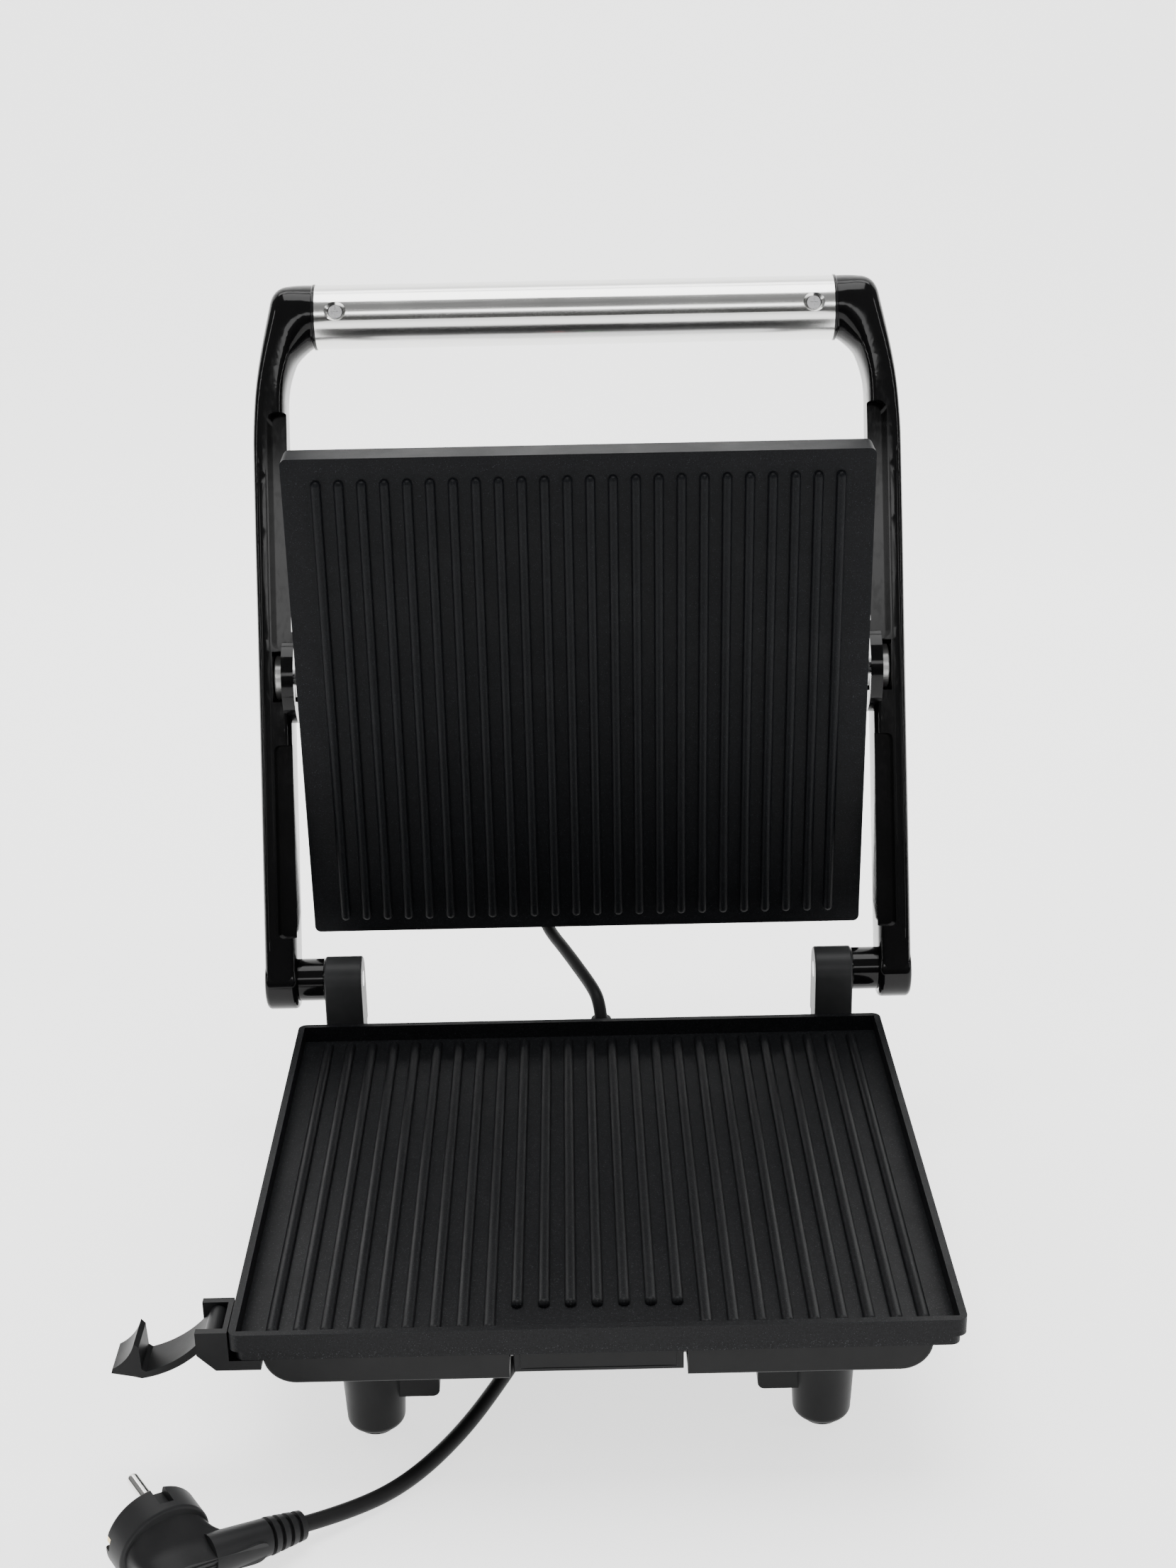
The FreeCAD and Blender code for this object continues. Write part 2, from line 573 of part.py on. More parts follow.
def latch_lever():
    """A thin curved strip, hooked at its end, with a leaf-shaped finger tab."""
    def at(x, z):
        return Vector(-SIZE["latch_x"] + x, -SIZE["latch_y"] - SIZE["latch_width"] / 2, SIZE["latch_height"] + z)

    hook_corner, tab_end, tab_top, tip = at(-32.6, -17.0), at(-41.4, -15.2), at(-40.8, -13.2), at(-31.3, -1.6)
    throat, inner = at(-29.6, -3.6), at(-29.2, -13.6)
    edges = [
        Part.Arc(at(-2.6, -2.6), at(-15.2, -13.0), at(-29.4, -17.9)),
        Part.LineSegment(at(-29.4, -17.9), hook_corner),
        Part.LineSegment(hook_corner, tab_end),
        Part.LineSegment(tab_end, tab_top),
        Part.Arc(tab_top, at(-35.0, -8.6), tip),
        Part.LineSegment(tip, throat),
        Part.LineSegment(throat, inner),
        Part.LineSegment(inner, at(-27.6, -14.8)),
        Part.Arc(at(-27.6, -14.8), at(-16.0, -9.9), at(-3.2, 1.4)),
        Part.LineSegment(at(-3.2, 1.4), at(-2.6, -2.6)),
    ]
    wire = Part.Wire([edge.toShape() for edge in edges])
    strip = Part.Face(wire).extrude(Vector(0, SIZE["latch_width"], 0))
    root = rod("lever_root", "y", ("-latch_x", "-latch_y - latch_width / 2", "latch_height"),
               "latch_width", "3.8")
    bore = rod("lever_bore", "y", ("-latch_x", "-latch_y - latch_width / 2 - 1", "latch_height"),
               "latch_width + 2", "2 + running_gap")
    return cut("latch_lever_cut", fuse("lever_body", [solid("lever_strip", strip), root]), bore)


node("latch_bracket", latch_bracket())
node("latch_pin", rod("latch_rod", "y", ("-latch_x", "-latch_y - 11", "latch_height"), "22", "2"))
node("latch_lever", latch_lever())


# ---- handle frame, modelled flat with the hinge at its origin, arms along -Y --------------------

HINGE = Vector(0, SIZE["hinge_back"], SIZE["hinge_height"])
OPEN_FRAME = Placement(HINGE, Rotation(Vector(1, 0, 0), -SIZE["open_angle"]))


def arm_section(outer, inner, depth, power, points=28):
    """A rounded section across the arm, between an outer and an inner point of its outline."""
    middle = (outer + inner) / 2
    across = (outer - inner) / 2
    curve = []
    for n in range(points):
        turn = 2 * math.pi * n / points
        c, s = math.cos(turn), math.sin(turn)
        reach = (abs(c) ** power + abs(s) ** power) ** (-1 / power)
        curve.append(middle + across * (c * reach) + Vector(0, 0, depth / 2 * s * reach))
    spline = Part.BSplineCurve()
    spline.interpolate(curve, PeriodicFlag=True)
    return Part.Wire([spline.toShape()])


def arm():
    """The left arm with its knuckle and the corner that turns into the handle tube."""
    low, high = -SIZE["arm_outer"], -SIZE["arm_inner"]
    reach, radius, half = SIZE["grip_reach"], SIZE["grip_radius"], SIZE["grip_half"]
    depth = SIZE["arm_depth"]
    tube_end = half + 1.6
    stations = (
        (Vector(low, 0, 0), Vector(high, 0, 0), depth, 6.0),
        (Vector(low, -90, 0), Vector(high, -90, 0), depth, 6.0),
        (Vector(low, -180, 0), Vector(high, -180, 0), depth, 6.0),
        (Vector(low, -258, 0), Vector(high, -258, 0), depth, 6.0),
        (Vector(low + 0.3, -278, 0), Vector(high, -280, 0), depth, 5.0),
        (Vector(low + 1.9, -298, 0), Vector(high + 0.4, -293, 0), depth, 4.2),
        (Vector(low + 5.6, -320, 0), Vector(high + 2.6, -303, 0), depth + 0.6, 3.4),
        (Vector(low + 11.4, 4.6 - reach - radius, 0), Vector(high + 6.4, -310.6, 0), depth + 1.4, 2.8),
        (Vector(low + 19.0, 0.5 - reach - radius, 0), Vector(high + 11.2, -314.9, 0), depth + 2.2, 2.3),
        (Vector(-tube_end, -reach - radius, 0), Vector(-tube_end, radius - reach, 0), 2 * radius, 2.0),
    )
    solid_loft, ruled, closed, degree = True, False, False, 2
    limb = Part.makeLoft([arm_section(*station) for station in stations], solid_loft, ruled, closed, degree)
    heel = Part.makeCylinder(depth / 2, high - low, Vector(low, 0, 0), Vector(1, 0, 0))
    heel = heel.makeFillet(2.5, [edge for edge in heel.Edges if isinstance(edge.Curve, Part.Circle)])
    knuckle = Part.makeCylinder(10.6, -high - SIZE["tower_outer"] - 0.5 + 4, Vector(high - 4, 0, 0),
                                Vector(1, 0, 0))
    boss = Part.makeCylinder(23, 6, Vector(high - 3.4, -SIZE["pivot_reach"], 0), Vector(1, 0, 0))
    shape = limb.fuse([heel, knuckle, boss])
    front = -depth / 2 - 1
    inner_side = high - 8.6
    deep = Part.makeBox(20, 118, 11, Vector(inner_side, -283, front))
    deep = deep.makeFillet(4.5, [edge for edge in deep.Edges if along("z")(edge)])
    shallow = Part.makeBox(20, 96, 6.5, Vector(inner_side, -118, front))
    shallow = shallow.makeFillet(3.0, [edge for edge in shallow.Edges if along("z")(edge)])
    seat = Part.makeBox(20, 2 * SIZE["hub_radius"] + 2.4, SIZE["hub_radius"] + 1.2 - front,
                        Vector(inner_side, -SIZE["pivot_reach"] - SIZE["hub_radius"] - 1.2, front))
    catch = Part.makeBox(8, 22, 9.5, Vector(low - 2.6, -274, -11))
    pin_bore = Part.makeCylinder(SIZE["hinge_pin_radius"], 20, Vector(-SIZE["tower_outer"] - 18, 0, 0),
                                 Vector(1, 0, 0))
    pivot_bore = Part.makeCylinder(SIZE["pivot_pin_radius"], 14,
                                   Vector(high - 14, -SIZE["pivot_reach"], 0), Vector(1, 0, 0))
    for tool in (deep, shallow, seat, catch, pin_bore, pivot_bore):
        shape = shape.cut(tool)
    return shape


def mirrored(shape):
    return shape.mirror(Vector(), Vector(1, 0, 0))


def both_sides(name, shape):
    """The left piece and its mirror image, on the handle frame."""
    node(f"{name}_left", solid(f"{name}_left_shape", shape), OPEN_FRAME)
    node(f"{name}_right", solid(f"{name}_right_shape", mirrored(shape)), OPEN_FRAME)


def round_piece(start_x, end_x, reach, radius, bevel=0.0, height=0.0):
    """A turned piece with its axis along X; the bevel softens both its ends."""
    shape = Part.makeCylinder(radius, end_x - start_x, Vector(start_x, -reach, height), Vector(1, 0, 0))
    if bevel:
        shape = shape.makeChamfer(bevel, [e for e in shape.Edges if isinstance(e.Curve, Part.Circle)])
    return shape


def pivot_hub():
    """An aluminium hub, wider at the arm, round the float pivot's pin."""
    inner = SIZE["arm_inner"] - 1.7
    hub = Part.makeCone(SIZE["hub_radius"], SIZE["hub_radius"] - 1.4, 10,
                        Vector(-inner - 10, -SIZE["pivot_reach"], 0), Vector(1, 0, 0))
    hub = hub.makeFillet(0.8, [edge for edge in hub.Edges if isinstance(edge.Curve, Part.Circle)])
    return hub.cut(round_piece(-inner - 11, 1 - inner, SIZE["pivot_reach"], SIZE["pivot_pin_radius"]))


def grip_tube():
    half, radius = SIZE["grip_half"], SIZE["grip_radius"]
    shape = round_piece(-half, half, SIZE["grip_reach"], radius)
    shape = shape.cut(round_piece(-half - 1, half + 1, SIZE["grip_reach"], radius - SIZE["grip_wall"]))
    for side in (-1, 1):
        dimple = Part.makeCone(5.6, 2.0, 3.4, Vector(side * SIZE["screw_half"], -SIZE["grip_reach"], -radius - 0.2),
                               Vector(0, 0, 1))
        shape = shape.cut(dimple)
    return shape


def grip_plug():
    """The core that joins a corner to the tube, with its screw's seat."""
    half, radius = SIZE["grip_half"], SIZE["grip_radius"]
    plug = round_piece(-half - 1.6, -half + 26, SIZE["grip_reach"], radius - SIZE["grip_wall"] - 0.1)
    return plug.cut(screw(-SIZE["screw_half"], clearance=0.1))


def screw(x, clearance=0.0):
    """A countersunk screw, driven from the front into the handle's core."""
    head_z = 2.3 - SIZE["grip_radius"]
    spot = Vector(x, -SIZE["grip_reach"], head_z)
    head = Part.makeCone(3.4 + clearance, 1.6 + clearance, 2.4, spot, Vector(0, 0, 1))
    shank = Part.makeCylinder(1.6 + clearance, 13, spot, Vector(0, 0, 1))
    shape = head.fuse(shank)
    if clearance:
        return shape.fuse(Part.makeCylinder(3.4 + clearance, 3, spot - Vector(0, 0, 3), Vector(0, 0, 1)))
    for across, deep in ((Vector(3.6, 0.9, 1.2), 0), (Vector(0.9, 3.6, 1.2), 0)):
        slot = Part.makeBox(across.x, across.y, across.z, spot - Vector(across.x / 2, across.y / 2, 0.2))
        shape = shape.cut(slot)
    return shape


def grip_collar():
    half, radius = SIZE["grip_half"], SIZE["grip_radius"]
    ring = round_piece(-half - 1.6, -half, SIZE["grip_reach"], radius + 0.5, bevel=0.4)
    return ring.cut(round_piece(-half - 2, 1 - half, SIZE["grip_reach"], radius - SIZE["grip_wall"] - 0.1))


both_sides("arm", arm())
both_sides("pivot_hub", pivot_hub())
both_sides("handle_collar", grip_collar())
both_sides("handle_core", grip_plug())
both_sides("hinge_pin", round_piece(-SIZE["tower_outer"] - 18, 1 - SIZE["tower_inner"] - 1, 0,
                                    SIZE["hinge_pin_radius"]))
both_sides("pivot_pin", round_piece(-SIZE["arm_inner"] - 14, -SIZE["shell_width"] / 2 + 12,
                                    SIZE["pivot_reach"], SIZE["pivot_pin_radius"]))
both_sides("handle_screw", screw(-SIZE["screw_half"]))
node("handle_tube", solid("grip_tube", grip_tube()), OPEN_FRAME)


# ---- upper head, modelled level with the float pivot at its origin ------------------------------

PIVOT = OPEN_FRAME.multVec(Vector(0, -SIZE["pivot_reach"], 0))
OPEN_HEAD = Placement(PIVOT, Rotation(Vector(1, 0, 0), -SIZE["head_angle"]))
SHIFT = Placement(Vector(0, SIZE["head_shift"], 0), Rotation())


def upper_plate():
    body = doc.addObject("PartDesign::Body", "upper_plate_body")
    outline = sketch(body, "head_outline", lift="-face_drop")
    rectangle(outline, "head_width", "head_depth")
    pad(body, "head_slab", outline, "head_edge")
    hollow = sketch(body, "head_hollow_outline", lift="head_edge - face_drop")
    rectangle(hollow, "head_hollow_width", "head_hollow_depth")
    pocket(body, "head_hollow", hollow, "head_edge - head_skin", upwards=False)
    doc.recompute()
    front = SIZE["rib_front_gap"] + 1 - SIZE["head_depth"] / 2
    back = SIZE["head_depth"] / 2 - SIZE["rib_rear_gap"] + 1
    rib_row(body, "head_ribs", -11.5 * SIZE["rib_pitch"], front, back, "-face_drop - rib_sink", 24)
    doc.recompute()
    corner = lambda edge: along("z", 10)(edge) and abs(edge.CenterOfMass.x) > SIZE["head_width"] / 2 - 1
    return rounded("upper_plate_rounded", body, 3.0, corner)


def upper_housing():
    """A moulded shell with an outward flange, bosses for the float pivots and a gland's hole."""
    low, high = "head_edge - face_drop", "head_edge - face_drop + shell_height"
    x = ("-shell_width / 2", "shell_width / 2")
    y = ("head_shift - shell_depth / 2", "head_shift + shell_depth / 2")
    shell = block("head_shell_outside", x, y, (low, high))
    shell = rounded("head_shell_corners", shell, 14.0, along("z"))
    shell = rounded("head_shell_top", shell, 7.0, lambda edge: edge.CenterOfMass.z > SIZE["shell_height"] - 9.5)
    flange = block("head_flange", (f"{x[0]} - 6", f"{x[1]} + 6"), (f"{y[0]} - 6", f"{y[1]} + 6"),
                   (low, f"{low} + 2.6"))
    flange = rounded("head_flange_corners", flange, 5.0, along("z"))
    inside = block("head_shell_inside", (f"{x[0]} + shell_wall", f"{x[1]} - shell_wall"),
                   (f"{y[0]} + shell_wall", f"{y[1]} - shell_wall"), (f"{low} - 1", f"{high} - shell_wall"))
    inside = rounded("head_inside_corners", inside, 11.0, along("z"))
    top_inside = lambda edge: edge.CenterOfMass.z > SIZE["shell_height"] - 13
    inside = rounded("head_inside_top", inside, 4.5, top_inside)
    shell = cut("head_shell", fuse("head_shell_flanged", [shell, flange]), inside)
    bosses, bores = [], []
    for side, start in (("left", "1 - shell_width / 2"), ("right", "shell_width / 2 - 13")):
        bosses.append(rod(f"pivot_boss_{side}", "x", (start, "0", "0"), "12", "8"))
        bores.append(rod(f"pivot_bore_{side}", "x", (f"{start} - 2", "0", "0"), "16",
                         "pivot_pin_radius + running_gap"))
    lead_hole = rod("head_lead_hole", "y", ("head_lead_x", f"{y[1]} - 5", "head_lead_z"), "8",
                    "cord_radius + 0.3")
    return cut("upper_housing_cut", fuse("head_shell_bossed", [shell] + bosses), *bores, lead_hole)


def top_cover():
    top = "head_edge - face_drop + shell_height"
    sheet_metal = block("cover_sheet", ("-110", "110"), ("head_shift - 88", "head_shift + 100"),
                        (top, f"{top} + 0.8"))
    return rounded("cover_corners", sheet_metal, 12.0, along("z"))


node("upper_grill_plate", upper_plate(), OPEN_HEAD.multiply(SHIFT))
node("upper_housing", upper_housing(), OPEN_HEAD)
node("top_cover", top_cover(), OPEN_HEAD)
under = -SIZE["face_drop"] + SIZE["head_skin"]
upper_loop = element_path(104, -102, 104, under + 3.4)
node("upper_heating_element", solid("upper_loop", tube(upper_loop, 3.3, bend=14)),
     OPEN_HEAD.multiply(SHIFT))
upper_sheet = block("upper_sheet", ("-118", "118"), ("-108", "108"), (f"{under} + 9", f"{under} + 9.5"))
node("upper_heat_shield", upper_sheet, OPEN_HEAD.multiply(SHIFT))
button = rod("upper_can", "z", ("0", "20", str(under + 0.1)), "6", "8")
node("upper_thermostat", button, OPEN_HEAD.multiply(SHIFT))
for lens_name, lens_x in (("power_lens", -9), ("ready_lens", 9)):
    lens = rod(f"{lens_name}_rod", "z", (str(lens_x), "head_shift - 100", "head_edge - face_drop + shell_height - 3"),
               "4.2", "3")
    lens = rounded(f"{lens_name}_soft", lens, 0.8, lambda edge: edge.CenterOfMass.z > SIZE["shell_height"] - 8.2)
    node(lens_name, lens, OPEN_HEAD)


# ---- glands, lid lead and mains cord -----------------------------------------------------------

def gland(name, axis, start, length, radius, end_radius):
    """A tapered strain relief with three grooves and a bore for its cord."""
    body = rod(f"{name}_taper", axis, start, length, radius, end_radius)
    bore_start = list(start)
    number = "xyz".index(axis)
    bore_start[number] = f"{start[number]} - 6"
    return cut(f"{name}_cut", body, rod(f"{name}_bore", axis, bore_start, f"{length} + 5.5", "cord_radius"))


LEAD_LOWER = ((6.0, 142.0, 70.0), (5.3, 144.0, 76.6), (3.0, 151.0, 81.4), (-2.0, 163.0, 83.5))
LEAD_UPPER = ((-2.05, 163.12, 83.52), (-11.0, 184.6, 87.3), (-18.3, 200.5, 89.6), (-22.4, 210.0, 93.4),
              (-23.8, 214.6, 99.2), (-24.0, 215.3, 105.6))
MAINS_CORD = (
    (45.0, 150.0, 39.5), (46.0, 178.0, 38.0), (48.0, 206.0, 29.0), (46.0, 231.0, 15.0),
    (32.0, 249.0, 5.5), (6.0, 258.0, 3.3), (-22.0, 255.0, 3.3), (-47.0, 240.0, 3.3),
    (-62.0, 214.0, 3.3), (-62.0, 179.0, 3.3), (-50.0, 135.0, 3.3),
    (-31.0, 85.0, 3.3), (-20.0, 32.0, 3.3), (-25.0, -20.0, 3.3), (-41.0, -62.0, 3.3),
    (-57.5, -99.0, 3.3), (-77.5, -129.0, 3.3), (-98.5, -146.6, 4.6), (-116.5, -158.7, 8.3),
)


def points(route):
    return [Vector(*point) for point in route]


node("cord_strain_relief", gland("cord_gland", "y", ("cord_x", "belly_back", "cord_z"), "gland_length",
                                 "6", "4.6"))
node("lead_gland_base", gland("lead_gland_low", "z", ("lead_x", "lead_y", "plate_under"), "lead_gland",
                              "6.4", "5"))
node("lead_gland_head", gland("lead_gland_high", "y", ("head_lead_x", "head_shift + shell_depth / 2",
                                                       "head_lead_z"), "lead_gland", "6.4", "5"), OPEN_HEAD)
radius = SIZE["cord_radius"]
node("lid_lead_lower", solid("lead_low", tube(points(LEAD_LOWER), radius)))
node("lid_lead_upper", solid("lead_high", tube(points(LEAD_UPPER), radius)))
node("mains_cord", solid("cord", tube(points(MAINS_CORD), radius)))


# ---- plug: an angled two-pin plug with side earth clips, lying on the worktop -------------------

CORD_END = points(MAINS_CORD)[-1]
PLUG_TURN = Rotation(Vector(0.785, 0.596, -0.169), Vector(), Vector(-0.583, 0.803, 0.122), "ZXY")
PLUG_RADIUS, PLUG_DEEP, PIN_SPREAD, PIN_RADIUS, PIN_LENGTH = 18.7, 13.0, 9.5, 2.4, 19.0
NECK_Z = -23.5


def plug_body():
    """A deep disc that faces +Z, with a waisted grip behind it that runs out along +X as the neck."""
    disc = Part.makeCylinder(PLUG_RADIUS, PLUG_DEEP, Vector(0, 0, -PLUG_DEEP))
    disc = disc.makeFillet(1.2, [edge for edge in disc.Edges if isinstance(edge.Curve, Part.Circle)])
    waist = []
    for z, half_wide, left, right in ((-PLUG_DEEP + 2, 17.0, -17.0, 15.0), (-17.5, 9.4, -15.4, 20.0),
                                      (-22.0, 6.6, -13.6, 28.0), (-30.5, 5.6, -12.0, 34.0)):
        outline = [Vector(left, 0, z), Vector(left * 0.55, half_wide * 0.85, z), Vector(2, half_wide, z),
                   Vector(right * 0.75, half_wide * 0.8, z), Vector(right, half_wide * 0.55, z),
                   Vector(right, -half_wide * 0.55, z), Vector(right * 0.75, -half_wide * 0.8, z),
                   Vector(2, -half_wide, z), Vector(left * 0.55, -half_wide * 0.85, z)]
        curve = Part.BSplineCurve()
        curve.interpolate(outline, PeriodicFlag=True)
        waist.append(Part.Wire([curve.toShape()]))
    grip = Part.makeLoft(waist, True, False, False, 2)
    neck = Part.makeCone(8.4, 7.2, 25, Vector(12, 0, NECK_Z), Vector(1, 0, 0))
    shape = disc.fuse(grip).fuse(neck)
    for side in (-1, 1):
        guide = Part.makeBox(5.6, 4.4, 9.2, Vector(-2.8, side * (PLUG_RADIUS - 1.2) - 2.2, -9.2))
        clip_seat = Part.makeBox(4.4, 5.6, 6.0, Vector(side * 17.4 - 2.2, -2.8, -3.4))
        for tool in (guide, clip_seat, Part.makeCylinder(PIN_RADIUS, 5, Vector(0, side * PIN_SPREAD, -4))):
            shape = shape.cut(tool)
    return shape


def plug_pins():
    """Two round contact pins with hemispherical tips, from inside the disc."""
    pins = []
    straight = 4 + PIN_LENGTH - PIN_RADIUS
    for side in (-1, 1):
        spot = Vector(0, side * PIN_SPREAD, -4)
        tip = Part.makeSphere(PIN_RADIUS, spot + Vector(0, 0, straight))
        pins.append(Part.makeCylinder(PIN_RADIUS, straight, spot).fuse(tip).removeSplitter())
    return Part.makeCompound(pins)


def plug_earth_clips():
    clips = [Part.makeBox(1.2, 4.4, 5.0, Vector(side * 16.2 - 0.6, -2.2, -3.3)) for side in (-1, 1)]
    return Part.makeCompound(clips)


def plug_sleeve():
    """Four soft ribs on a thin core, between the plug's neck and the cord."""
    core = Part.makeCone(5.2, 4.2, 17, Vector(37, 0, NECK_Z), Vector(1, 0, 0))
    ribs = [Part.makeCone(7.4 - 0.45 * n, 7.1 - 0.45 * n, 2.4, Vector(38.4 + 4.1 * n, 0, NECK_Z),
                          Vector(1, 0, 0)) for n in range(4)]
    return core.fuse(ribs).removeSplitter()


SLEEVE_END = Vector(54, 0, NECK_Z)
PLUG = Placement(CORD_END - PLUG_TURN.multVec(SLEEVE_END), PLUG_TURN)
for piece_name, piece in (("plug_body", plug_body()), ("plug_pins", plug_pins()),
                          ("plug_earth_clips", plug_earth_clips()), ("plug_sleeve", plug_sleeve())):
    node(piece_name, solid(f"{piece_name}_shape", piece), PLUG)


# ---- check and write ---------------------------------------------------------------------------

doc.recompute()
failed = [item.Name for item in doc.Objects if "Invalid" in item.State or "Error" in item.State]
failed += [item.Label for item in nodes if item.Shape.isNull() or not item.Shape.isValid()]
if failed:
    raise RuntimeError("failed: " + ", ".join(failed))
os.makedirs("parts", exist_ok=True)
for item in nodes:
    item.Shape.exportStep(f"parts/{item.Label}.step")
    print(item.Label, round(item.Shape.Volume), len(item.Shape.Solids))
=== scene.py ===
import math

import bmesh
import bpy
from mathutils import Matrix, Vector


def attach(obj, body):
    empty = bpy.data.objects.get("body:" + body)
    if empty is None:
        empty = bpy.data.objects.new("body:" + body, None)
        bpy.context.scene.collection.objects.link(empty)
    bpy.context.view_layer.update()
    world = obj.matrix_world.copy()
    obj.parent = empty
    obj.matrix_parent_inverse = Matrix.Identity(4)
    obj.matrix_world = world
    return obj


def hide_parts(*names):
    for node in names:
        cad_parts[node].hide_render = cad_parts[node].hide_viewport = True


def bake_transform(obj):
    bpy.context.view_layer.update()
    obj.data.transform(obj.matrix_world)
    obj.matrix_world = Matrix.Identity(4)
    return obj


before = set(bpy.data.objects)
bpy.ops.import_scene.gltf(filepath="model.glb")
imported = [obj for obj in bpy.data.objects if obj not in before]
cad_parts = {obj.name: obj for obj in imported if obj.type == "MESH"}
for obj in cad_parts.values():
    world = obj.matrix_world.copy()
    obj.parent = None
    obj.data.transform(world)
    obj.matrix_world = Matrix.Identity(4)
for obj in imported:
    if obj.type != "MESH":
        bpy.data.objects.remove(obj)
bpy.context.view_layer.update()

MM = 0.001


# ---- camera ------------------------------------------------------------------------------------

LENS = 50.69
SENSOR_WIDTH = 36
CAMERA_PLACE = (-0.0041, -0.8549, 0.5888)
CAMERA_YAW, CAMERA_PITCH, CAMERA_ROLL = 0.326, 21.434, -1.082


def make_camera():
    """In front of the press and above it: the yaw turns it right, the pitch tips it down, in degrees."""
    data = bpy.data.cameras.new("camera")
    data.lens = LENS
    data.sensor_width = SENSOR_WIDTH
    camera = bpy.data.objects.new("camera", data)
    bpy.context.scene.collection.objects.link(camera)
    yaw, pitch, roll = (math.radians(turn) for turn in (CAMERA_YAW, CAMERA_PITCH, CAMERA_ROLL))
    camera.matrix_world = (Matrix.Translation(CAMERA_PLACE) @ Matrix.Rotation(-yaw, 4, "Z")
                           @ Matrix.Rotation(math.pi / 2 - pitch, 4, "X") @ Matrix.Rotation(roll, 4, "Z"))
    bpy.context.scene.camera = camera


make_camera()


# ---- helpers -----------------------------------------------------------------------------------

def link(name, data):
    """A new object of the data, put in the scene."""
    obj = bpy.data.objects.new(name, data)
    bpy.context.scene.collection.objects.link(obj)
    return obj


def from_bmesh(name, bm, smooth=True):
    """A new object of the bmesh, which is freed."""
    mesh = bpy.data.meshes.new(name)
    bmesh.ops.recalc_face_normals(bm, faces=bm.faces)
    bm.to_mesh(mesh)
    bm.free()
    if smooth:
        mesh.polygons.foreach_set("use_smooth", [True] * len(mesh.polygons))
    return link(name, mesh)


def bevelled(obj, width, angle=30):
    """Rounds the edges that turn by more than the angle; the width is in millimetres."""
    modifier = obj.modifiers.new("soft_edges", "BEVEL")
    modifier.width = width * MM
    modifier.segments = 2
    modifier.limit_method = "ANGLE"
    modifier.angle_limit = math.radians(angle)
    return obj


def cad(name):
    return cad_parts[name]


def paint(obj, material):
    """Gives every slot of the object the material."""
    if not obj.material_slots:
        obj.data.materials.append(material)
    for slot in obj.material_slots:
        slot.material = material


def settle(piece, material, body, node=None):
    """Paints a finished piece, sets it on its body, and hides the CAD node it stands for, if one is given.
    """
    paint(piece, material)
    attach(piece, body)
    if node:
        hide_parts(node)
    return piece


# ---- materials ---------------------------------------------------------------------------------

# Sockets of a Mix node that mixes colours.
MIX_FACTOR, MIX_FIRST, MIX_SECOND, MIX_RESULT = 0, 6, 7, 2


class Recipe:
    """A node tree round one Principled shader, read in object space in metres."""

    def __init__(self, name, color, roughness, **plain):
        self.material = bpy.data.materials.new(name)
        self.material.use_nodes = True
        self.tree = self.material.node_tree
        self.shader = next(n for n in self.tree.nodes if n.type == "BSDF_PRINCIPLED")
        self.shader.inputs["Base Color"].default_value = (*color, 1)
        self.shader.inputs["Roughness"].default_value = roughness
        for key, value in plain.items():
            self.shader.inputs[key.replace("_", " ")].default_value = value
        self.space = self.tree.nodes.new("ShaderNodeTexCoord").outputs["Object"]
        self.heights = []

    def wire(self, source, target):
        self.tree.links.new(source, target)

    def stretched(self, scale):
        node = self.tree.nodes.new("ShaderNodeMapping")
        node.inputs["Scale"].default_value = scale
        self.wire(self.space, node.inputs["Vector"])
        return node.outputs["Vector"]

    def noise(self, scale, detail=2.0, roughness=0.5, stretch=None, warp=0.0):
        node = self.tree.nodes.new("ShaderNodeTexNoise")
        node.inputs["Scale"].default_value = scale
        node.inputs["Detail"].default_value = detail
        node.inputs["Roughness"].default_value = roughness
        node.inputs["Distortion"].default_value = warp
        self.wire(self.stretched(stretch) if stretch else self.space, node.inputs["Vector"])
        return node.outputs["Fac"]

    def cells(self, scale):
        node = self.tree.nodes.new("ShaderNodeTexVoronoi")
        node.inputs["Scale"].default_value = scale
        self.wire(self.space, node.inputs["Vector"])
        return node.outputs["Distance"]

    def ramp(self, source, *stops):
        """Stops are (place, value); a value is a grey or an (r, g, b)."""
        node = self.tree.nodes.new("ShaderNodeValToRGB")
        elements = node.color_ramp.elements
        while len(elements) < len(stops):
            elements.new(0.5)
        for element, (place, value) in zip(elements, stops):
            element.position = place
            rgb = value if isinstance(value, tuple) else (value,) * 3
            element.color = (*rgb, 1)
        self.wire(source, node.inputs["Fac"])
        return node.outputs["Color"]

    def mix(self, factor, first, second, blend="MIX"):
        node = self.tree.nodes.new("ShaderNodeMix")
        node.data_type = "RGBA"
        node.blend_type = blend
        for value, place in ((factor, MIX_FACTOR), (first, MIX_FIRST), (second, MIX_SECOND)):
            socket = node.inputs[place]
            if hasattr(value, "node"):
                self.wire(value, socket)
            elif isinstance(value, tuple):
                socket.default_value = (*value, 1)
            else:
                socket.default_value = value
        return node.outputs[MIX_RESULT]

    def color(self, source):
        self.wire(source, self.shader.inputs["Base Color"])

    def roughness(self, source):
        self.wire(source, self.shader.inputs["Roughness"])

    def relief(self, source, strength, distance):
        """Stacks one more bump on those before it."""
        node = self.tree.nodes.new("ShaderNodeBump")
        node.inputs["Strength"].default_value = strength
        node.inputs["Distance"].default_value = distance * MM
        self.wire(source, node.inputs["Height"])
        if self.heights:
            self.wire(self.heights[-1], node.inputs["Normal"])
        self.heights.append(node.outputs["Normal"])
        self.wire(node.outputs["Normal"], self.shader.inputs["Normal"])


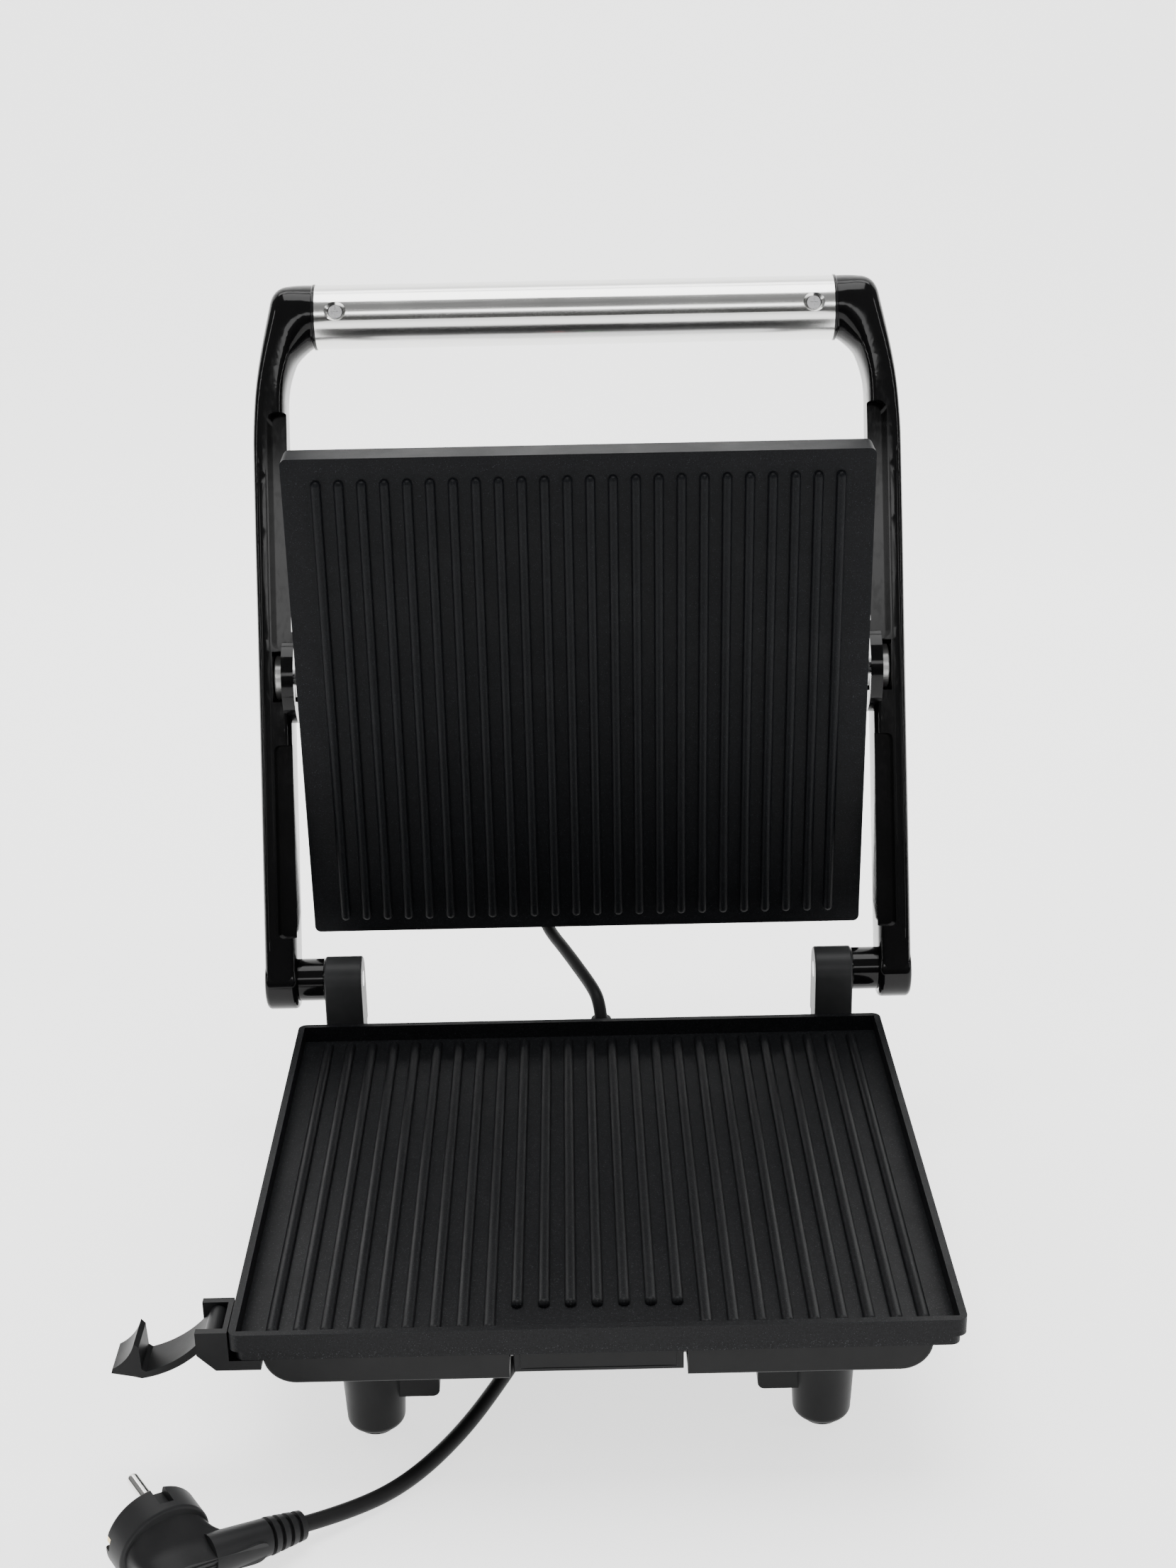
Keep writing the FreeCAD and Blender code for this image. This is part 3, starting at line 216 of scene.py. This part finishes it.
def grained_plastic(name, dark, light, low, high, grain=0.035):
    """A satin moulding: a fine spark-eroded grain, faint handling marks and a little colour drift."""
    recipe = Recipe(name, light, high, Specular_IOR_Level=0.12, IOR=1.49)
    recipe.color(recipe.ramp(recipe.noise(38, 3, 0.6), (0.3, dark), (0.7, light)))
    recipe.roughness(recipe.ramp(recipe.noise(24, 4, 0.65, warp=0.6), (0.3, low), (0.72, high)))
    recipe.relief(recipe.noise(2600, 2, 0.6), 0.5, grain)
    recipe.relief(recipe.cells(1700), 0.25, grain)
    return recipe.material


def coated_plate(name, dark, light, fleck):
    """A sprayed non-stick coating: fine mottling, sparse pale flecks and a slightly pebbled skin."""
    recipe = Recipe(name, light, 0.45, Specular_IOR_Level=0.1)
    mottled = recipe.ramp(recipe.noise(900, 3, 0.7), (0.35, dark), (0.65, light))
    flecks = recipe.ramp(recipe.noise(2300, 1, 0.4), (0.66, 0.0), (0.74, 1.0))
    drift = recipe.ramp(recipe.noise(16, 3, 0.55), (0.3, 0.86), (0.7, 1.0))
    recipe.color(recipe.mix(1.0, recipe.mix(flecks, mottled, fleck), drift, "MULTIPLY"))
    recipe.roughness(recipe.ramp(recipe.noise(30, 4, 0.6, warp=0.4), (0.3, 0.4), (0.75, 0.52)))
    recipe.relief(recipe.noise(1500, 3, 0.6), 0.35, 0.04)
    recipe.relief(recipe.noise(320, 2, 0.5), 0.15, 0.06)
    return recipe.material


def polished_black(name, color, low, high):
    """A glossy moulding with faint haze, dust-fine scratches and a whisper of orange peel."""
    recipe = Recipe(name, color, low, Specular_IOR_Level=0.28, IOR=1.38)
    haze = recipe.noise(20, 4, 0.6, warp=0.8)
    hairs = recipe.noise(420, 2, 0.5, stretch=(1, 0.05, 0.6))
    recipe.roughness(recipe.mix(0.35, recipe.ramp(haze, (0.35, low), (0.75, high)),
                                recipe.ramp(hairs, (0.5, low), (0.62, high))))
    recipe.color(recipe.ramp(haze, (0.3, color), (0.8, tuple(1.35 * c for c in color))))
    recipe.relief(recipe.noise(150, 1, 0.4), 0.06, 0.05)
    return recipe.material


def turned_metal(name, color, roughness, stretch, strength=0.2, metallic=1.0):
    """Bright metal with a fine lay of tool or drawing marks."""
    recipe = Recipe(name, color, roughness, Metallic=metallic)
    lay = recipe.noise(900, 4, 0.65, stretch=stretch)
    wide = recipe.noise(18, 3, 0.6)
    recipe.roughness(recipe.mix(0.5, recipe.ramp(lay, (0.3, roughness * 0.8), (0.7, roughness * 1.35)),
                                recipe.ramp(wide, (0.3, roughness * 0.85), (0.7, roughness * 1.25))))
    recipe.color(recipe.mix(0.3, recipe.ramp(wide, (0.3, tuple(0.92 * c for c in color)), (0.7, color)),
                            recipe.ramp(lay, (0.35, tuple(0.85 * c for c in color)), (0.65, color))))
    recipe.relief(lay, strength, 0.01)
    return recipe.material


def plain_glow(name, color, roughness):
    """A tinted translucent lens with a faint moulded cloud."""
    recipe = Recipe(name, color, roughness, Transmission_Weight=0.35, IOR=1.49, Coat_Weight=0.4)
    recipe.color(recipe.ramp(recipe.noise(260, 2, 0.5), (0.3, tuple(0.7 * c for c in color)), (0.7, color)))
    return recipe.material


SATIN = grained_plastic("satin_black_grain", (0.0062, 0.0064, 0.0067), (0.009, 0.0092, 0.0096), 0.34, 0.46)
FLANK = grained_plastic("tower_black_grain", (0.02, 0.0205, 0.0212), (0.028, 0.0285, 0.0295), 0.32, 0.42)
RUBBER = grained_plastic("pad_rubber_grain", (0.008, 0.008, 0.008), (0.014, 0.014, 0.014), 0.7, 0.85, 0.06)
LOWER_COAT = coated_plate("lower_plate_coating", (0.0041, 0.0043, 0.0048), (0.0083, 0.0087, 0.0098),
                          (0.04, 0.042, 0.046))
# The upper plate has the same coating as the lower plate. Its darker mottling and flecks are painted shade,
# because the opened plate stands upright and faces away from the overhead light.
UPPER_COAT_SHADED = coated_plate("upper_plate_coating_painted_shade", (0.0025, 0.0028, 0.0035), (0.0052, 0.0058, 0.0071),
                          (0.024, 0.026, 0.031))
GLOSS = polished_black("gloss_black_polish", (0.0028, 0.0028, 0.003), 0.07, 0.16)
COLLAR = polished_black("collar_black_polish", (0.006, 0.006, 0.0064), 0.1, 0.2)
TUBE = turned_metal("tube_aluminium_drawn", (0.80, 0.80, 0.785), 0.17, (0.02, 1, 1), 0.12)
HUB = turned_metal("hub_aluminium_turned", (0.66, 0.66, 0.65), 0.34, (1, 0.3, 0.3), 0.15, metallic=0.6)
STAINLESS = turned_metal("brushed_stainless_lay", (0.46, 0.46, 0.47), 0.3, (0.02, 1, 1), 0.8)
ZINC = turned_metal("plated_steel_bright", (0.60, 0.60, 0.61), 0.26, (0.4, 0.4, 1), 0.12)
SHEET = turned_metal("shield_sheet_rolled", (0.62, 0.62, 0.63), 0.3, (1, 0.04, 1), 0.2)
SHEATH = turned_metal("element_sheath_dull", (0.19, 0.175, 0.165), 0.48, (1, 1, 1), 0.3)
NICKEL = turned_metal("pin_nickel_polish", (0.78, 0.77, 0.75), 0.16, (1, 1, 0.2), 0.1)
BRASS = turned_metal("clip_brass_strip", (0.75, 0.58, 0.30), 0.25, (0.4, 1, 1), 0.15)
CERAMIC = grained_plastic("terminal_ceramic_body", (0.55, 0.53, 0.48), (0.66, 0.64, 0.6), 0.35, 0.5, 0.05)
RED = plain_glow("red_lens_tint", (0.42, 0.012, 0.01), 0.12)
GREEN = plain_glow("green_lens_tint", (0.02, 0.28, 0.05), 0.12)
PLUG = grained_plastic("plug_black_grain", (0.012, 0.0122, 0.0128), (0.017, 0.0172, 0.0178), 0.38, 0.5)
CORD = grained_plastic("cord_black_sheath", (0.010, 0.010, 0.0104), (0.014, 0.014, 0.0144), 0.42, 0.56, 0.02)

# Each material and the CAD pieces that it covers.
FINISH = {
    SATIN: ("base_housing", "bottom_cover", "drip_tray", "upper_housing", "latch_bracket", "latch_lever",
            "front_left_foot", "front_right_foot", "rear_left_foot", "rear_right_foot"),
    FLANK: ("hinge_tower_left", "hinge_tower_right"),
    RUBBER: ("front_left_foot_pad", "front_right_foot_pad", "rear_left_foot_pad", "rear_right_foot_pad"),
    LOWER_COAT: ("lower_grill_plate",),
    UPPER_COAT_SHADED: ("upper_grill_plate",),
    GLOSS: ("arm_left", "arm_right", "handle_core_left", "handle_core_right"),
    COLLAR: ("handle_collar_left", "handle_collar_right"),
    TUBE: ("handle_tube",),
    HUB: ("pivot_hub_left", "pivot_hub_right"),
    STAINLESS: ("top_cover",),
    ZINC: ("base_screws", "handle_screw_left", "handle_screw_right", "hinge_pin_left", "hinge_pin_right",
           "pivot_pin_left", "pivot_pin_right", "latch_pin", "thermal_fuse", "lower_thermostat",
           "upper_thermostat"),
    SHEET: ("lower_heat_shield", "upper_heat_shield"),
    SHEATH: ("lower_heating_element", "upper_heating_element"),
    CERAMIC: ("terminal_block",),
    RED: ("power_lens",),
    GREEN: ("ready_lens",),
    PLUG: ("plug_body", "cord_strain_relief", "lead_gland_base", "lead_gland_head", "plug_sleeve"),
    NICKEL: ("plug_pins",),
    BRASS: ("plug_earth_clips",),
    CORD: ("mains_cord", "lid_lead_lower", "lid_lead_upper"),
}
for finish, names in FINISH.items():
    for name in names:
        paint(cad(name), finish)


# Bevel widths in millimetres, and the CAD pieces whose edges they soften.
SOFT_EDGES = {
    0.5: ("base_housing", "drip_tray", "latch_bracket", "hinge_tower_left", "hinge_tower_right",
          "bottom_cover", "upper_housing"),
    0.35: ("arm_left", "arm_right", "latch_lever", "upper_grill_plate"),
    0.3: ("plug_body", "plug_sleeve", "plug_earth_clips", "top_cover"),
}
for width, names in SOFT_EDGES.items():
    for name in names:
        bevelled(cad(name), width)


# ---- shapes of the cord, its sleeve and the raised lines ---------------------------------------

# Routes in millimetres: the two halves of the lid lead, and the mains cord from its exit to the sleeve.
LEAD_LOWER = ((6.0, 142.0, 70.0), (5.3, 144.0, 76.6), (3.0, 151.0, 81.4), (-2.0, 163.0, 83.5))
LEAD_UPPER = ((-2.05, 163.12, 83.52), (-11.0, 184.6, 87.3), (-18.3, 200.5, 89.6), (-22.4, 210.0, 93.4),
              (-23.8, 214.6, 99.2), (-24.0, 215.3, 105.6))
MAINS_CORD = (
    (45.0, 150.0, 39.5), (46.0, 178.0, 38.0), (48.0, 206.0, 29.0), (46.0, 231.0, 15.0),
    (32.0, 249.0, 5.5), (6.0, 258.0, 3.3), (-22.0, 255.0, 3.3), (-47.0, 240.0, 3.3),
    (-62.0, 214.0, 3.3), (-62.0, 179.0, 3.3), (-50.0, 135.0, 3.3),
    (-31.0, 85.0, 3.3), (-20.0, 32.0, 3.3), (-25.0, -20.0, 3.3), (-41.0, -62.0, 3.3),
    (-57.5, -99.0, 3.3), (-77.5, -129.0, 3.3), (-98.5, -146.6, 4.6), (-116.5, -158.7, 8.3),
)
CORD_DIAMETER = 6.5
CORD_WALK = 12            # steps between two of the route's points


def flexible(name, route):
    """A round cord on a NURBS line whose control points are the route's, in millimetres."""
    curve = bpy.data.curves.new(name, "CURVE")
    curve.dimensions = "3D"
    spline = curve.splines.new("NURBS")
    spline.points.add(len(route) - 1)
    for point, place in zip(spline.points, route):
        point.co = (*(Vector(place) * MM), 1)
    spline.order_u = 3
    spline.use_endpoint_u = True
    spline.resolution_u = CORD_WALK
    curve.bevel_depth = CORD_DIAMETER / 2 * MM
    curve.bevel_resolution = 6
    curve.use_fill_caps = True
    return link(name, curve)


def flexible_mesh(name, route):
    """The same cord as a mesh piece, painted as cord."""
    curve_object = flexible(name, route)
    graph = bpy.context.evaluated_depsgraph_get()
    mesh = bpy.data.meshes.new_from_object(curve_object.evaluated_get(graph))
    bpy.data.objects.remove(curve_object)
    mesh.polygons.foreach_set("use_smooth", [True] * len(mesh.polygons))
    piece = link(name, mesh)
    paint(piece, CORD)
    return piece


def skin(bm, rings):
    """Faces between closed rings of vertices, with a cap on each end."""
    count = len(rings[0])
    for low, high in zip(rings, rings[1:]):
        for k in range(count):
            bm.faces.new((low[k], low[(k + 1) % count], high[(k + 1) % count], high[k]))
    bm.faces.new(rings[0])
    bm.faces.new(rings[-1])


SLEEVE_SIDES = 40
SLEEVE_STEPS = 6          # rings in one groove and the land after it
GROOVE_DEPTH, ROOT_CHAMFER, TIP_CHAMFER = 0.86, 0.55, 0.7     # shares of the sleeve's radius


def relief_sleeve(name, start, end, radii, grooves):
    """A tapered, grooved strain relief round a cord, from start to end, with its radii at root and tip."""
    start, end = Vector(start) * MM, Vector(end) * MM
    axis = (end - start).normalized()
    length = (end - start).length
    side = axis.orthogonal().normalized()
    other = axis.cross(side)
    steps = grooves * SLEEVE_STEPS + 4
    profile = [(0.0, ROOT_CHAMFER)]
    for n in range(steps + 1):
        in_groove = 0 < n % SLEEVE_STEPS < 3 and 4 < n < steps - 1
        profile.append((n / steps, GROOVE_DEPTH if in_groove else 1.0))
    profile.append((1.0, TIP_CHAMFER))
    turns = [2 * math.pi * k / SLEEVE_SIDES for k in range(SLEEVE_SIDES)]
    bm = bmesh.new()
    rings = []
    for place, share in profile:
        radius = (radii[0] + (radii[1] - radii[0]) * place) * share * MM
        center = start + axis * (length * place)
        rings.append([bm.verts.new(center + radius * (math.cos(t) * side + math.sin(t) * other))
                      for t in turns])
    skin(bm, rings)
    return bevelled(from_bmesh(name, bm, smooth=False), 0.25, 20)


# Half an arch across a raised line, and the share of its full section along the line.
ARCH = [(math.cos(math.pi * k / 8), math.sin(math.pi * k / 8)) for k in range(9)]
LINE_TAPER = ((0, 0.25), (0.03, 0.75), (0.08, 1), (0.92, 1), (0.97, 0.75), (1, 0.25))


def bars(name, lines, width, height, outward):
    """Raised lines with rounded tops, from (start, end) pairs in millimetres, proud along outward."""
    bm = bmesh.new()
    for start, end in lines:
        start, end = Vector(start) * MM, Vector(end) * MM
        along = (end - start).normalized()
        across = along.cross(outward).normalized()
        rings = []
        for place, scale in LINE_TAPER:
            center = start.lerp(end, place)
            rings.append([bm.verts.new(center + scale * MM * (width / 2 * c * across
                                                              + height * s * outward))
                          for c, s in ARCH])
        skin(bm, rings)
    return from_bmesh(name, bm)


# ---- raised lines on the plug, the arms and the tray -------------------------------------------

# The plug's axes: ahead along its pins, and along towards its sleeve. Its origin is in the disc's pin face.
PLUG_AHEAD = Vector((-0.583, 0.803, 0.122)).normalized()
PLUG_ALONG = Vector((0.785, 0.596, -0.169)).normalized()
PLUG_SIDE = PLUG_AHEAD.cross(PLUG_ALONG)
SLEEVE_REACH, SLEEVE_BACK = 54, 23.5
PLUG_ORIGIN = Vector(MAINS_CORD[-1]) - SLEEVE_REACH * PLUG_ALONG + SLEEVE_BACK * PLUG_AHEAD
GRIP_BACK = 30.4
GRIP_LINES = ((-1, 15, -3.6), (1, 16, -1.4), (3, 17, 0.8), (6, 18, 3.0))     # start, end and side


def on_plug(x, y, z):
    return PLUG_ORIGIN + x * PLUG_ALONG + y * PLUG_SIDE + z * PLUG_AHEAD


def plug_grips():
    lines = [(on_plug(start, y, -GRIP_BACK), on_plug(end, y, -GRIP_BACK)) for start, end, y in GRIP_LINES]
    piece = bars("plug_grip_lines", lines, 1.1, 0.55, -PLUG_AHEAD)
    return settle(piece, PLUG, "base")


# The arms' own frame: from the lid hinge, -Y runs up the arm and -Z faces the front.
HINGE_POINT = Vector((0, 145.5, 93.5))
ARM_TURN = Matrix.Rotation(math.radians(-110.5), 3, "X")
ARM_FACE = -14.25
ARM_BEADS_X = (154.6, 158.0)
ARM_BEAD_FROM, ARM_BEAD_TO = -14, -262


def arm_beads():
    outward = ARM_TURN @ Vector((0, 0, -1))
    for side, side_name in ((-1, "left"), (1, "right")):
        lines = [[HINGE_POINT + ARM_TURN @ Vector((side * x, y, ARM_FACE))
                  for y in (ARM_BEAD_FROM, ARM_BEAD_TO)] for x in ARM_BEADS_X]
        piece = bars(f"arm_front_beads_{side_name}", lines, 0.9, 0.35, outward)
        settle(piece, GLOSS, "handle_frame")


TRAY_Y, TRAY_X, TRAY_LOW, TRAY_HIGH = -124.0, 31.2, 53.2, 60.4


def tray_bead():
    low_left, low_right = (-TRAY_X, TRAY_Y, TRAY_LOW), (TRAY_X, TRAY_Y, TRAY_LOW)
    high_left, high_right = (-TRAY_X, TRAY_Y, TRAY_HIGH), (TRAY_X, TRAY_Y, TRAY_HIGH)
    lines = ((high_left, high_right), (low_left, low_right), (low_left, high_left), (low_right, high_right))
    piece = bars("tray_front_bead", lines, 0.6, 0.25, Vector((0, -1, 0)))
    settle(piece, SATIN, "drip_tray")


# ---- mains cord and lid lead -------------------------------------------------------------------

GLAND_ROOT = (45, 128, 39.5)
GLAND_RADII = (6.0, 4.6)
GLAND_GROOVES = 3


def mains_lead():
    """The free cord from the press to the plug, set on the base; the CAD cord is hidden."""
    mains = settle(flexible("mains_lead", MAINS_CORD), CORD, "base", "mains_cord")


def lid_lead():
    """Two halves that meet near the hinge, as cord meshes in place; the CAD halves are hidden."""
    low = flexible_mesh("lid_lead_base_half", LEAD_LOWER)
    high = flexible_mesh("lid_lead_head_half", LEAD_UPPER)
    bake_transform(low)
    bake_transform(high)
    for piece, node in ((low, "lid_lead_lower"), (high, "lid_lead_upper")):
        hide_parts(node)


def mains_gland():
    piece = relief_sleeve("mains_gland", GLAND_ROOT, MAINS_CORD[0], GLAND_RADII, GLAND_GROOVES)
    settle(piece, PLUG, "base", "cord_strain_relief")


grip_lines = plug_grips()
arm_beads()
tray_bead()
mains_lead()
lid_lead()
mains_gland()


# ---- stage -------------------------------------------------------------------------------------

FLOOR_FRONT, FLOOR_BACK = -2.5, 1.1
SWEEP_RADIUS, SWEEP_STEPS = 0.9, 16
WALL_TOP, HALF_WIDTH = 4.0, 3.5
FLOOR_DROP = 0.0002       # keeps the floor just under the feet
PAPER_GLOW = 1.6


def sweep_backdrop():
    """A pale floor that curves up into the wall behind."""
    bm = bmesh.new()
    profile = [(FLOOR_FRONT, 0.0), (FLOOR_BACK, 0.0)]
    for n in range(1, SWEEP_STEPS + 1):
        turn = math.pi / 2 * n / SWEEP_STEPS
        profile.append((FLOOR_BACK + SWEEP_RADIUS * math.sin(turn), SWEEP_RADIUS * (1 - math.cos(turn))))
    profile.append((FLOOR_BACK + SWEEP_RADIUS, WALL_TOP))
    rows = [[bm.verts.new((x, y, z - FLOOR_DROP)) for x in (-HALF_WIDTH, HALF_WIDTH)] for y, z in profile]
    for low, high in zip(rows, rows[1:]):
        bm.faces.new((low[0], low[1], high[1], high[0]))
    floor = from_bmesh("studio_sweep", bm)
    recipe = Recipe("studio_paper", (0.86, 0.86, 0.855), 0.7, Specular_IOR_Level=0.1,
                    Emission_Strength=PAPER_GLOW, Emission_Color=(1, 1, 0.995, 1))
    recipe.color(recipe.ramp(recipe.noise(3, 2), (0.3, (0.85, 0.85, 0.845)), (0.7, (0.87, 0.87, 0.865))))
    paint(floor, recipe.material)


WORLD_STRENGTH = 0.28
SKY_LOW, SKY_HIGH = (0.08, (0.10, 0.10, 0.095, 1)), (0.42, (1, 1, 1, 1))
PALE = 8.0                # what the camera itself sees past the sweep; it lights nothing


def pale_world():
    """A dim sky that brightens upwards, and plain pale where the camera looks past the sweep."""
    world = bpy.data.worlds.new("studio_world")
    world.use_nodes = True
    tree = world.node_tree
    background = next(n for n in tree.nodes if n.type == "BACKGROUND")
    place = tree.nodes.new("ShaderNodeTexCoord").outputs["Generated"]
    split = tree.nodes.new("ShaderNodeSeparateXYZ")
    tree.links.new(place, split.inputs[0])
    sky = tree.nodes.new("ShaderNodeValToRGB")
    for element, (position, color) in zip(sky.color_ramp.elements, (SKY_LOW, SKY_HIGH)):
        element.position, element.color = position, color
    tree.links.new(split.outputs["Z"], sky.inputs["Fac"])
    seen = tree.nodes.new("ShaderNodeMix")
    seen.data_type = "RGBA"
    seen.inputs[MIX_SECOND].default_value = (PALE, PALE, PALE, 1)
    tree.links.new(tree.nodes.new("ShaderNodeLightPath").outputs["Is Camera Ray"], seen.inputs[MIX_FACTOR])
    tree.links.new(sky.outputs["Color"], seen.inputs[MIX_FIRST])
    tree.links.new(seen.outputs[MIX_RESULT], background.inputs["Color"])
    background.inputs["Strength"].default_value = WORLD_STRENGTH
    bpy.context.scene.world = world


# Name, place, target, width and height in metres, and power in watts.
LAMPS = (
    ("overhead", (0.0, 0.1, 1.9), (0, 0.05, 0.1), (1.4, 0.9), 26),
    ("left_strip", (-1.5, -0.5, 0.9), (0, 0, 0.25), (0.16, 1.2), 6),
    ("right_strip", (1.5, -0.5, 0.9), (0, 0, 0.25), (0.16, 1.2), 5),
    ("front_fill", (0.0, -1.9, 1.3), (0, 0, 0.1), (1.2, 0.3), 7),
    ("wall_wash", (0.0, 1.0, 2.4), (0, 1.9, 0.5), (2.8, 0.6), 30),
)


def lamp(name, place, target, size, power):
    data = bpy.data.lights.new(name, "AREA")
    data.shape = "RECTANGLE"
    data.size, data.size_y = size
    data.energy = power
    obj = link(name, data)
    obj.location = place
    obj.rotation_euler = (Vector(target) - Vector(place)).to_track_quat("-Z", "Y").to_euler()


sweep_backdrop()
pale_world()
for row in LAMPS:
    lamp(*row)
